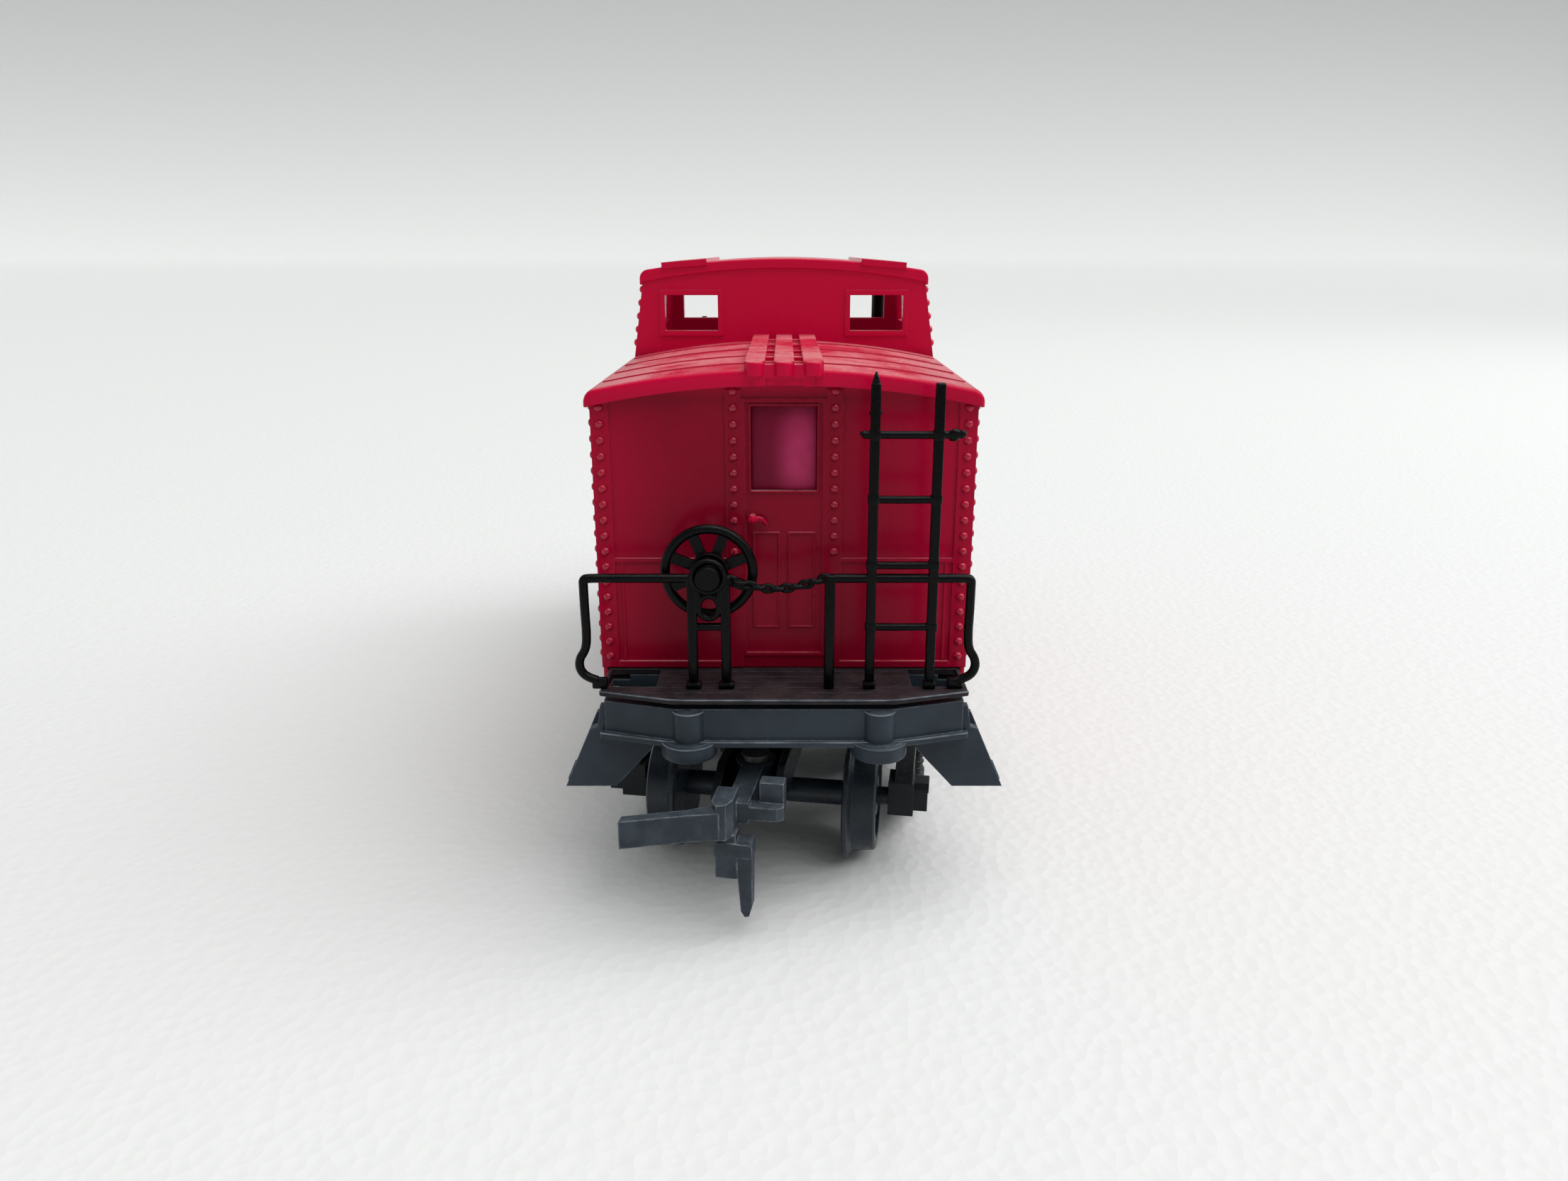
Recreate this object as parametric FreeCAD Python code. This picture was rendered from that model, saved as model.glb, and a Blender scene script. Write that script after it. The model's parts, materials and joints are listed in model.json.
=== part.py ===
import FreeCAD, Part
import os

from FreeCAD import Vector

# HO scale (1:87) caboose, millimetres. +Z is up, the front end faces -Y.
# The origin is on the ground under the middle of the car.

# Body shell
BODY_LENGTH = 74.0
BODY_HALF_WIDTH = 15.1
WALL = 1.0
SIDE_BOTTOM_Z = 16.7
ROOF_HALF_WIDTH = 15.5
ROOF_OVERHANG = 0.8
EAVE_Z = 40.3
SHOULDER_Z = 41.5
CROWN_Z = 43.25
FASCIA = 1.3
RELIEF = 0.18
PLANK_WIDTH = 1.55
PLANK_PITCH = 2.25
PLANK_TOP_Z = 43.8

# Cupola
CUPOLA_LENGTH = 22.0
CUPOLA_BASE_HALF_WIDTH = 14.95
CUPOLA_EAVE_HALF_WIDTH = 13.75
CUPOLA_EAVE_Z = 48.6
CUPOLA_SHOULDER_Z = 49.9
CUPOLA_CROWN_Z = 51.05
CUPOLA_WINDOW = (6.5, 11.7, 44.2, 47.6)

# End wall
DOOR_HALF_WIDTH = 3.35
DOOR_TOP_Z = 40.9
DOOR_WINDOW_HALF_WIDTH = 2.6
DOOR_WINDOW_Z = (33.6, 40.3)
BELT_Z = 27.9
RIVET_STRIP = 1.25
CORNER_STRIP = 1.45

# Platform, sill and steps
DECK_TOP_Z = 18.6
DECK_THICKNESS = 0.5
PLANK_GROOVE_PITCH = 1.15
DECK_HALF_WIDTH = 14.6
DECK_KNEE_X = 8.5
DECK_KNEE_REACH = 6.9
DECK_CORNER_REACH = 5.1
WELL_INNER_X = 10.2
WELL_REACH = 4.2
SILL_BOTTOM_Z = 14.5
SILL_FOOT_DROP = 0.9
SILL_INSET = 0.3
SILL_GAP = 0.45
STEP_BOTTOM_Z = 10.0
STEP_TIP_X = 17.8

# Railing, ladder and brake wheel
RAILING_REACH = 4.5
BAR = 0.9
RAIL_TOP_Z = 27.7
CORNER_POST_X = 14.9
LADDER_RAILS_X = (6.75, 11.5)
LADDER_TOP_Z = 42.7
LADDER_RUNGS_Z = (23.75, 28.75, 33.9, 38.8)
BRAKE_X = -5.85
BRAKE_Z = 27.9
BRAKE_RADIUS = 3.8
HUB_RADIUS = 1.5
SPOKE_WIDTH = 0.8
BRAKE_SHAFT_RADIUS = 0.6

# Trucks and wheels
TRUCK_Y = 23.9
TRUCK_YAW = -9.0
WHEELBASE = 19.0
FLANGE_RADIUS = 5.65
TREAD_RADIUS = 4.85
BACK_TO_BACK = 14.4
WHEEL_WIDTH = 2.8
AXLE_RADIUS = 1.1
JOURNAL_RADIUS = 0.8
AXLE_HALF_LENGTH = 12.3
FRAME_INNER_X = 11.4
FRAME_OUTER_X = 13.0
RUNNING_GAP = 0.06
KINGPIN_RADIUS = 1.5
PAD_TOP_Z = 13.2

# Coupler
ARM_REACH = 20.0
COUPLER_PIVOT_REACH = 15.1
COUPLER_HEAD_REACH = 22.1
COUPLER_BOTTOM_Z = 9.5
COUPLER_PIN_RADIUS = 0.7

END_Y = BODY_LENGTH / 2


def box(x0, x1, y0, y1, z0, z1):
    return Part.makeBox(x1 - x0, y1 - y0, z1 - z0, Vector(x0, y0, z0))


def cylinder(radius, start, axis, length):
    return Part.makeCylinder(radius, length, Vector(*start), Vector(*axis))


def fuse(shapes):
    solid = shapes[0].multiFuse(shapes[1:])
    return solid.removeSplitter()


def polygon_wire(points):
    return Part.makePolygon([Vector(*point) for point in points + points[:1]])


def prism_xz(outline, y0, y1):
    """Extrude an outline of (x, z) points along Y."""
    wire = polygon_wire([(x, y0, z) for x, z in outline])
    return Part.Face(wire).extrude(Vector(0, y1 - y0, 0))


def prism_xy(outline, z0, z1):
    """Extrude an outline of (x, y) points along Z."""
    wire = polygon_wire([(x, y, z0) for x, y in outline])
    return Part.Face(wire).extrude(Vector(0, 0, z1 - z0))


def prism_yz(outline, x0, x1):
    """Extrude an outline of (y, z) points along X."""
    wire = polygon_wire([(x0, y, z) for y, z in outline])
    return Part.Face(wire).extrude(Vector(x1 - x0, 0, 0))


def arch(base_half_width, top_half_width, base_z, shoulder_z, crown_z, y0, y1):
    """A prism along Y with sloping sides and an arched top."""
    left_base = Vector(-base_half_width, y0, base_z)
    left_top = Vector(-top_half_width, y0, shoulder_z)
    right_top = Vector(top_half_width, y0, shoulder_z)
    right_base = Vector(base_half_width, y0, base_z)
    edges = [
        Part.makeLine(left_base, left_top),
        Part.Arc(left_top, Vector(0, y0, crown_z), right_top).toShape(),
        Part.makeLine(right_top, right_base),
        Part.makeLine(right_base, left_base),
    ]
    return Part.Face(Part.Wire(edges)).extrude(Vector(0, y1 - y0, 0))


def round_edges(shape, radius, wanted):
    """Fillet the edges whose middle point passes the test."""
    edges = []
    for edge in shape.Edges:
        middle = edge.valueAt((edge.FirstParameter + edge.LastParameter) / 2)
        if wanted(middle):
            edges.append(edge)
    return shape.makeFillet(radius, edges)


def half_turn(shape):
    """The same piece at the other end of the car."""
    turned = shape.copy()
    turned.rotate(Vector(0, 0, 0), Vector(0, 0, 1), 180)
    return turned


def mirror_x(shape):
    return shape.mirror(Vector(0, 0, 0), Vector(1, 0, 0))


def rod(points, radius):
    """Round bar through the points, with a ball at each bend."""
    pieces = []
    for start, end in zip(points, points[1:]):
        direction = Vector(*end) - Vector(*start)
        pieces.append(Part.makeCylinder(radius, direction.Length, Vector(*start), direction))
    for point in points[1:-1]:
        pieces.append(Part.makeSphere(radius, Vector(*point)))
    return fuse(pieces)


def frame_ring(x0, x1, z0, z1, width, y0, y1):
    """A rectangular raised frame standing in the XZ plane, outside the given opening."""
    outside = box(x0 - width, x1 + width, y0, y1, z0 - width, z1 + width)
    return outside.cut(box(x0, x1, y0 - 1, y1 + 1, z0, z1))


# --- body shell -------------------------------------------------------------

def roof_slab():
    y = END_Y + ROOF_OVERHANG
    slab = arch(ROOF_HALF_WIDTH, ROOF_HALF_WIDTH, EAVE_Z, SHOULDER_Z, CROWN_Z, -y, y)

    def is_shoulder(p):
        return abs(abs(p.x) - ROOF_HALF_WIDTH) < 0.01 and abs(p.y) < 1 and p.z > SHOULDER_Z - 0.1

    slab = round_edges(slab, 1.1, is_shoulder)
    half_width = BODY_HALF_WIDTH + 0.1
    under = arch(half_width, half_width, EAVE_Z - 2, EAVE_Z + 0.05, CROWN_Z - FASCIA, -y - 1, y + 1)
    slab = slab.cut(under)
    return round_edges(slab, 0.4, lambda p: abs(abs(p.y) - y) < 0.01 and p.z > CROWN_Z - 0.5)


def roof_ribs():
    """Low seams that cross the roof from eave to eave."""
    ribs = []
    half_width = ROOF_HALF_WIDTH - 1.0
    for y in (14.0, 20.5, 27.0, 33.5):
        for centre in (-y, y):
            rib = arch(half_width, half_width, SHOULDER_Z - 0.5, SHOULDER_Z + 0.32, CROWN_Z + 0.12,
                       centre - 0.25, centre + 0.25)
            ribs.append(rib)
    return ribs


def running_boards():
    """Three walkway planks with rounded noses on cleats, from each end of the roof to the cupola."""
    pieces = []
    start = CUPOLA_LENGTH / 2 - 0.2
    end = END_Y + ROOF_OVERHANG + 0.5
    half = PLANK_WIDTH / 2
    for x in (-PLANK_PITCH, 0, PLANK_PITCH):
        pieces.append(box(x - half, x + half, -end + 0.3, -start, CROWN_Z - 0.2, PLANK_TOP_Z))
        nose = cylinder(half, (x, -end + half - 0.2, CROWN_Z - 0.55), (0, 0, 1), PLANK_TOP_Z - CROWN_Z + 0.55)
        pieces.append(round_edges(nose, 0.22, lambda p: p.z > PLANK_TOP_Z - 0.01))
    edge = PLANK_PITCH + half
    for index in range(5):
        y = -end + 0.35 + index * 6.0
        pieces.append(box(-edge, edge, y, y + 0.9, CROWN_Z - 0.75, PLANK_TOP_Z - 0.25))
    for x in (-1.9, 1.9):
        pieces.append(box(x - 0.45, x + 0.45, -end + 0.3, -END_Y + 0.5, CROWN_Z - 1.35, CROWN_Z))
    front = fuse(pieces)
    return [front, half_turn(front)]


def cupola_solid():
    half = CUPOLA_LENGTH / 2
    walls = arch(CUPOLA_BASE_HALF_WIDTH, CUPOLA_EAVE_HALF_WIDTH, EAVE_Z + 0.7,
                 CUPOLA_SHOULDER_Z - 0.5, CUPOLA_CROWN_Z - 0.5, -half, half)
    y = half + 0.25
    lid_half_width = CUPOLA_EAVE_HALF_WIDTH + 0.35
    lid = arch(lid_half_width, lid_half_width, CUPOLA_EAVE_Z, CUPOLA_SHOULDER_Z, CUPOLA_CROWN_Z, -y, y)

    def is_shoulder(p):
        return abs(abs(p.x) - lid_half_width) < 0.01 and abs(p.y) < 1 and p.z > CUPOLA_SHOULDER_Z - 0.1

    lid = round_edges(lid, 0.9, is_shoulder)
    under = arch(CUPOLA_EAVE_HALF_WIDTH + 0.05, CUPOLA_EAVE_HALF_WIDTH + 0.05, CUPOLA_EAVE_Z - 1,
                 CUPOLA_EAVE_Z + 0.25, CUPOLA_CROWN_Z - 0.9, -y - 1, y + 1)
    lid = lid.cut(under)
    lid = round_edges(lid, 0.2, lambda p: abs(abs(p.y) - y) < 0.01 and p.z > CUPOLA_CROWN_Z - 0.4)
    return [walls, lid] + cupola_walks()


def cupola_walks():
    """Two raised plates along the cupola roof."""
    y = CUPOLA_LENGTH / 2 + 0.45
    plate = box(-2.2, 2.2, -y, y, -0.3, 0.34)
    plate.rotate(Vector(0, 0, 0), Vector(0, 1, 0), 4.6)
    plate.translate(Vector(9.7, 0, CUPOLA_CROWN_Z - 0.54))
    return [plate, mirror_x(plate)]


def cupola_openings():
    half = CUPOLA_LENGTH / 2
    x0, x1, z0, z1 = CUPOLA_WINDOW
    right = box(x0, x1, -half - 2, half + 2, z0, z1)
    cuts = [right, mirror_x(right)]
    for y in (-5.2, 5.2):
        cuts.append(box(-20, 20, y - 2.6, y + 2.6, z0, z1))
    return cuts


def cupola_frames():
    half = CUPOLA_LENGTH / 2
    x0, x1, z0, z1 = CUPOLA_WINDOW
    front = [frame_ring(x0, x1, z0, z1, 0.5, -half - 0.22, -half + 0.2)]
    front.append(mirror_x(front[0]))
    return front + [half_turn(piece) for piece in front]


def side_windows():
    """Recessed window panels with raised frames along both sides."""
    cuts = []
    frames = []
    for y in (-27.0, -17.0, 17.0, 27.0):
        for side in (-1, 1):
            face = side * BODY_HALF_WIDTH
            cuts.append(box(face - 0.45, face + 0.45, y - 2.9, y + 2.9, 30.6, 37.0))
            outside = box(face - 0.2, face + 0.2, y - 3.4, y + 3.4, 30.1, 37.5)
            frames.append(outside.cut(box(face - 1, face + 1, y - 2.9, y + 2.9, 30.6, 37.0)))
    return cuts, frames


def end_wall_relief():
    """Door, rivet strips, belt line and base moulding of the front wall."""
    y = -END_Y
    out = y - RELIEF
    back = y + 0.3
    foot = DECK_TOP_Z + 0.1
    strip_outer = DOOR_HALF_WIDTH + RIVET_STRIP
    corner_inner = BODY_HALF_WIDTH - CORNER_STRIP
    right = [
        box(DOOR_HALF_WIDTH, strip_outer, out, back, foot, 41.6),
        box(corner_inner, BODY_HALF_WIDTH, out, back, foot, 40.7),
        box(strip_outer, corner_inner, out + 0.04, back, BELT_Z - 0.18, BELT_Z + 0.18),
        box(strip_outer, corner_inner, out - 0.05, back, foot, foot + 0.55),
        box(corner_inner - 0.65, corner_inner - 0.45, out + 0.08, back, foot + 0.55, BELT_Z),
        frame_ring(0.47, 2.37, 22.3, 30.1, 0.14, out + 0.03, back),
    ]
    pieces = right + [mirror_x(piece) for piece in right]
    door = DOOR_HALF_WIDTH - 0.3
    window = DOOR_WINDOW_HALF_WIDTH
    pieces.append(frame_ring(-door, door, 20.0, DOOR_TOP_Z - 0.3, 0.3, out, back))
    pieces.append(frame_ring(-window, window, *DOOR_WINDOW_Z, 0.16, out + 0.04, back))
    pieces.append(cylinder(0.36, (-2.5, out - 0.3, 31.4), (0, 1, 0), 0.6))
    pieces.append(box(-2.5, -1.65, out - 0.42, out - 0.12, 31.25, 31.5))
    return pieces


def body_shell():
    outer = arch(BODY_HALF_WIDTH, BODY_HALF_WIDTH, SIDE_BOTTOM_Z, EAVE_Z + 0.5, CROWN_Z - 0.8, -END_Y, END_Y)

    def is_corner(p):
        return abs(abs(p.x) - BODY_HALF_WIDTH) < 0.01 and abs(abs(p.y) - END_Y) < 0.01

    outer = round_edges(outer, 0.35, is_corner)
    relief = end_wall_relief()
    relief += [half_turn(piece) for piece in relief]
    cuts, frames = side_windows()
    pieces = [outer, roof_slab()] + roof_ribs() + cupola_solid() + cupola_frames()
    solid = fuse(pieces + running_boards() + relief + frames)
    inner_x = BODY_HALF_WIDTH - WALL
    inner_y = END_Y - WALL
    inner = arch(inner_x, inner_x, SIDE_BOTTOM_Z - 1, EAVE_Z - 0.6, CROWN_Z - FASCIA - 0.75,
                 -inner_y, inner_y)
    half = CUPOLA_LENGTH / 2 - WALL
    loft = arch(CUPOLA_BASE_HALF_WIDTH - WALL - 0.4, CUPOLA_EAVE_HALF_WIDTH - WALL, EAVE_Z - 2,
                CUPOLA_SHOULDER_Z - 1.4, CUPOLA_CROWN_Z - 1.5, -half, half)
    solid = solid.cut(inner).cut(loft)
    for tool in cuts + cupola_openings():
        solid = solid.cut(tool)
    notch_x = DECK_HALF_WIDTH + 0.05
    for y in (-END_Y, END_Y):
        recess = box(-DOOR_WINDOW_HALF_WIDTH, DOOR_WINDOW_HALF_WIDTH, y - 0.5, y + 0.5, *DOOR_WINDOW_Z)
        notch = box(-notch_x, notch_x, y - WALL - 0.2, y + WALL + 0.2, SIDE_BOTTOM_Z - 1, DECK_TOP_Z + 0.05)
        solid = solid.cut(recess).cut(notch)
    return solid


# --- underframe and platforms -----------------------------------------------

def platform_plate(inset, back_y, z0, z1):
    """Plate with a straight front and slanted ends, smaller than the deck by the inset."""
    half = DECK_HALF_WIDTH - inset
    corner_y = -END_Y - DECK_CORNER_REACH + inset
    knee_y = -END_Y - DECK_KNEE_REACH + inset
    outline = [
        (-half, corner_y), (-DECK_KNEE_X, knee_y), (DECK_KNEE_X, knee_y),
        (half, corner_y), (half, back_y), (-half, back_y),
    ]
    return prism_xy(outline, z0, z1)


def step_wells(z0, z1):
    well = box(WELL_INNER_X, DECK_HALF_WIDTH - 0.35, -END_Y - WELL_REACH, -END_Y - 0.35, z0, z1)
    return [well, mirror_x(well)]


def platform_deck():
    """Planked deck with a rounded lip and two step wells."""
    deck = platform_plate(0, -END_Y + 0.9, DECK_TOP_Z - DECK_THICKNESS, DECK_TOP_Z)
    middle_z = DECK_TOP_Z - DECK_THICKNESS / 2
    deck = round_edges(deck, 0.18, lambda p: p.y < -END_Y - 0.1 and abs(p.z - middle_z) > 0.2)
    for well in step_wells(DECK_TOP_Z - 1, DECK_TOP_Z + 1):
        deck = deck.cut(well)
    for index in range(5):
        y = -END_Y - 0.95 - index * PLANK_GROOVE_PITCH
        reach = WELL_INNER_X - 0.3 if index < 3 else DECK_HALF_WIDTH - 1.5
        deck = deck.cut(box(-reach, reach, y - 0.07, y + 0.07, DECK_TOP_Z - 0.15, DECK_TOP_Z + 1))
    return deck


def end_sill():
    """Sill with a bottom lip, two posts and their half-round feet."""
    deck_bottom = DECK_TOP_Z - DECK_THICKNESS
    top = deck_bottom - SILL_GAP
    bottom = SILL_BOTTOM_Z
    plate = platform_plate(SILL_INSET, -END_Y + 0.9, top - 0.6, top)
    bearer = platform_plate(SILL_INSET + 1.5, -END_Y + 0.9, top - 0.1, deck_bottom)
    plate = plate.fuse(bearer)
    for well in step_wells(top - 2, deck_bottom + 1):
        plate = plate.cut(well)
    hollow = platform_plate(SILL_INSET + 1.1, -END_Y + 2, bottom - 1, top + 1)
    band = platform_plate(SILL_INSET, -END_Y - 2.2, bottom, top).cut(hollow)
    lip = platform_plate(-0.1, -END_Y - 3.4, bottom, bottom + 0.5)
    lip = round_edges(lip, 0.14, lambda p: abs(p.z - bottom - 0.25) > 0.2 and p.y < -END_Y - 4.5)
    pieces = [plate, band, lip.cut(hollow)]
    for x in (-7.5, 7.5):
        y = -END_Y - DECK_KNEE_REACH + SILL_INSET + 1.0
        post = cylinder(1.4, (x, y, bottom), (0, 0, 1), top - bottom - 0.05)
        pieces.append(round_edges(post, 0.2, lambda p: p.z > top - 0.1))
        foot = cylinder(2.2, (x, y, bottom - SILL_FOOT_DROP), (0, 0, 1), SILL_FOOT_DROP + 0.5)
        foot = round_edges(foot, 0.25, lambda p: p.z < bottom)
        pieces.append(foot.cut(box(x - 3, x + 3, y + 1.2, y + 4, 0, 20)))
    return fuse(pieces)


def underframe():
    """Floor, centre beam, truck bolsters and both end sills in one moulding."""
    gap = 0.1
    x = BODY_HALF_WIDTH - WALL - gap
    y = END_Y - WALL - gap
    pieces = [box(-x, x, -y, y, 15.7, 17.2)]
    pieces.append(box(-3.0, 3.0, -17.0, 17.0, 13.4, 15.8))
    front = end_sill()
    pieces += [front, half_turn(front)]
    for side in (-1, 1):
        pad_z = PAD_TOP_Z + 0.15
        pieces.append(cylinder(4.2, (0, side * TRUCK_Y, pad_z), (0, 0, 1), 15.8 - pad_z))
        pieces.append(box(-x + 1, x - 1, side * TRUCK_Y - 1.6, side * TRUCK_Y + 1.6, 14.6, 15.8))
        link = sorted((side * (y - 1), side * (END_Y + 1.0)))
        pieces.append(box(-9.8, 9.8, link[0], link[1], 16.4, 18.1))
    for y_beam in (-8.0, 0.0, 8.0):
        pieces.append(box(-x + 1, x - 1, y_beam - 0.5, y_beam + 0.5, 14.4, 15.8))
    solid = fuse(pieces)
    for side in (-1, 1):
        solid = solid.cut(cylinder(KINGPIN_RADIUS, (0, side * TRUCK_Y, 12), (0, 0, 1), 5.0))
    return solid


def step_side_outline():
    """Front view of one step plate: flared outer edge, slanted inner edge."""
    top = DECK_TOP_Z - DECK_THICKNESS - 1.0
    return [
        (10.7, SILL_BOTTOM_Z + 0.2), (10.7, 13.3), (13.7, STEP_BOTTOM_Z), (STEP_TIP_X, STEP_BOTTOM_Z),
        (15.6, 15.1), (15.0, 15.3), (14.7, top), (13.9, top), (13.9, SILL_BOTTOM_Z + 0.2),
    ]


def steps():
    """Boxed step ladder below the right front corner of the platform."""
    front_y = -END_Y - WELL_REACH
    back_y = -END_Y - 0.9
    pieces = [prism_xz(step_side_outline(), y - 0.35, y + 0.35) for y in (front_y, back_y)]
    for x0, x1, z in ((13.8, STEP_TIP_X - 0.15, STEP_BOTTOM_Z), (11.6, 16.2, 12.9)):
        pieces.append(box(x0, x1, front_y, back_y, z, z + 0.6))
    riser = [
        (13.7, STEP_BOTTOM_Z), (14.3, STEP_BOTTOM_Z), (11.3, 13.5),
        (11.3, 15.5), (10.7, 15.5), (10.7, 13.3),
    ]
    pieces.append(prism_xz(riser, front_y, back_y))
    solid = fuse(pieces)
    return solid.cut(end_sill())


def brake_stand():
    """Two posts and the drop-shaped housing that carries the brake wheel."""
    y = -END_Y - RAILING_REACH
    front = y - BAR / 2
    back = y + BAR / 2
    pieces = []
    for x in (BRAKE_X - 1.3, BRAKE_X + 1.3):
        pieces.append(box(x - BAR / 2, x + BAR / 2, front, back, DECK_TOP_Z, BRAKE_Z + 0.3))
        pieces.append(box(x - BAR / 2 - 0.25, x + BAR / 2 + 0.25, front, back, DECK_TOP_Z, DECK_TOP_Z + 0.5))
    ring = cylinder(HUB_RADIUS, (BRAKE_X, front - 0.35, BRAKE_Z), (0, 1, 0), BAR + 0.35)
    dish = cylinder(HUB_RADIUS - 0.35, (BRAKE_X, front - 1, BRAKE_Z), (0, 1, 0), 0.85)
    pieces.append(round_edges(ring, 0.12, lambda p: p.y < front - 0.3).cut(dish))
    pieces.append(cylinder(1.05, (BRAKE_X, front - 0.15, BRAKE_Z - 2.5), (0, 1, 0), BAR + 0.15))
    pieces.append(box(BRAKE_X - 0.8, BRAKE_X + 0.8, front + 0.1, back - 0.1, BRAKE_Z - 2.5, BRAKE_Z - 1.2))
    pieces.append(box(BRAKE_X - 1.2, BRAKE_X + 1.2, front, back, BRAKE_Z - 4.3, BRAKE_Z - 3.9))
    solid = fuse(pieces)
    solid = solid.cut(cylinder(BRAKE_SHAFT_RADIUS + RUNNING_GAP, (BRAKE_X, front - 1, BRAKE_Z), (0, 1, 0), 3))
    return solid.cut(cylinder(0.6, (BRAKE_X, front - 1, BRAKE_Z - 2.5), (0, 1, 0), 3))


def end_railing():
    """Railing, ladder, brake stand and chain in one moulding."""
    y = -END_Y - RAILING_REACH
    front = y - BAR / 2
    back = y + BAR / 2
    radius = BAR / 2 - 0.04
    pieces = [brake_stand()]
    rail_ends = {-1: BRAKE_X - 1.0, 1: 3.5}
    for side in (-1, 1):
        rail = [
            (rail_ends[side], y, RAIL_TOP_Z), (side * (CORNER_POST_X - 0.5), y, RAIL_TOP_Z),
            (side * CORNER_POST_X, y, RAIL_TOP_Z - 0.5), (side * CORNER_POST_X, y, 22.0),
            (side * (CORNER_POST_X + 0.3), y, 21.3), (side * (CORNER_POST_X + 0.75), y, 20.6),
            (side * (CORNER_POST_X + 0.6), y, 19.7), (side * (CORNER_POST_X - 0.5), y, 19.15),
        ]
        pieces.append(rod(rail, radius))
        foot_x = side * (CORNER_POST_X - 0.9)
        pieces.append(box(foot_x - 0.65, foot_x + 0.65, y - 0.3, y + 0.3, DECK_TOP_Z, 19.45))
    pieces.append(box(3.1, 4.05, front, back, DECK_TOP_Z, RAIL_TOP_Z + 0.3))
    chain = [
        (BRAKE_X + 1.3, y, RAIL_TOP_Z), (-2.6, y, RAIL_TOP_Z - 0.25), (-1.2, y, RAIL_TOP_Z - 0.75),
        (0.4, y, RAIL_TOP_Z - 0.85), (1.8, y, RAIL_TOP_Z - 0.4), (3.4, y, RAIL_TOP_Z + 0.1),
    ]
    pieces.append(rod(chain, 0.33))
    for x in LADDER_RAILS_X:
        pieces.append(box(x - BAR / 2, x + BAR / 2, front, back, DECK_TOP_Z, LADDER_TOP_Z))
    for z in LADDER_RUNGS_Z:
        start, end = LADDER_RAILS_X
        if z == LADDER_RUNGS_Z[-1]:
            start, end = start - 1.0, end + 2.0
        pieces.append(rod([(start, y, z), (end, y, z)], 0.38))
    pieces.append(Part.makeCone(0.4, 0.12, 1.3, Vector(LADDER_RAILS_X[0], y, LADDER_TOP_Z - 0.2)))
    return fuse(pieces)


def brake_wheel():
    """Eight-spoked handwheel behind the stand, with its shaft and front button."""
    y = -END_Y - RAILING_REACH + BAR / 2 + 0.65
    rim = Part.makeTorus(BRAKE_RADIUS - 0.38, 0.38, Vector(BRAKE_X, y, BRAKE_Z), Vector(0, 1, 0))
    pieces = [rim, cylinder(HUB_RADIUS, (BRAKE_X, y - 0.33, BRAKE_Z), (0, 1, 0), 0.7)]
    for index in range(8):
        half = SPOKE_WIDTH / 2
        tip = BRAKE_X + BRAKE_RADIUS - 0.35
        spoke = box(BRAKE_X, tip, y - 0.22, y + 0.26, BRAKE_Z - half, BRAKE_Z + half)
        spoke.rotate(Vector(BRAKE_X, y, BRAKE_Z), Vector(0, 1, 0), 22.5 + 45 * index)
        pieces.append(spoke)
    front = -END_Y - RAILING_REACH - BAR / 2 - 0.15
    pieces.append(cylinder(BRAKE_SHAFT_RADIUS, (BRAKE_X, front - 0.4, BRAKE_Z), (0, 1, 0), y - front + 0.4))
    button = cylinder(0.95, (BRAKE_X, front - 0.6, BRAKE_Z), (0, 1, 0), 0.35)
    pieces.append(round_edges(button, 0.12, lambda p: p.y < front - 0.55))
    return fuse(pieces)


def smokestack():
    """Stove pipe with a domed foot on the roof behind the cupola."""
    x, y = 11.6, 16.2
    foot = Part.makeCone(2.9, 1.2, 1.5, Vector(x, y, 42.3))
    base = cylinder(2.9, (x, y, 41.6), (0, 0, 1), 0.7)
    pieces = [foot, base, cylinder(0.9, (x, y, 43.0), (0, 0, 1), 5.0)]
    pieces.append(cylinder(1.25, (x, y, 47.0), (0, 0, 1), 0.5))
    pieces.append(Part.makeCone(1.7, 0.4, 0.9, Vector(x, y, 47.9)))
    stack = fuse(pieces)
    return stack.cut(body_shell())


def ballast_weight():
    return round_edges(box(-11.0, 11.0, -31.0, 31.0, 17.2, 19.2), 0.3, lambda p: p.z > 17.3)


# --- trucks, drawn with the kingpin on the Z axis ----------------------------

def axle_positions():
    return (-WHEELBASE / 2, WHEELBASE / 2)


def truck_bolster():
    """Cross beam with its pad and the arm that carries the coupler."""
    beam = box(-FRAME_INNER_X, FRAME_INNER_X, -2.6, 2.6, 8.4, 11.6)
    pad = cylinder(4.0, (0, 0, 11), (0, 0, 1), PAD_TOP_Z - 11)
    arm = box(-2.8, 2.8, -ARM_REACH, 0, 8.4, COUPLER_BOTTOM_Z - 0.1)
    pieces = [beam, pad, arm]
    rib_outline = [
        (-ARM_REACH, 8.4), (-ARM_REACH, 9.9), (-ARM_REACH + 2.9, 11.6), (-2.0, 11.6), (-2.0, 8.4),
    ]
    rib = prism_yz(rib_outline, 2.2, 2.8)
    solid = fuse(pieces + [rib, mirror_x(rib)])
    solid = solid.cut(cylinder(KINGPIN_RADIUS + RUNNING_GAP, (0, 0, 5), (0, 0, 1), 12))
    solid = solid.cut(cylinder(2.6 + RUNNING_GAP, (0, 0, 5), (0, 0, 1), 4.6))
    return solid.cut(cylinder(COUPLER_PIN_RADIUS, (0, -COUPLER_PIVOT_REACH, 5), (0, 0, 1), 12))


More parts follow.
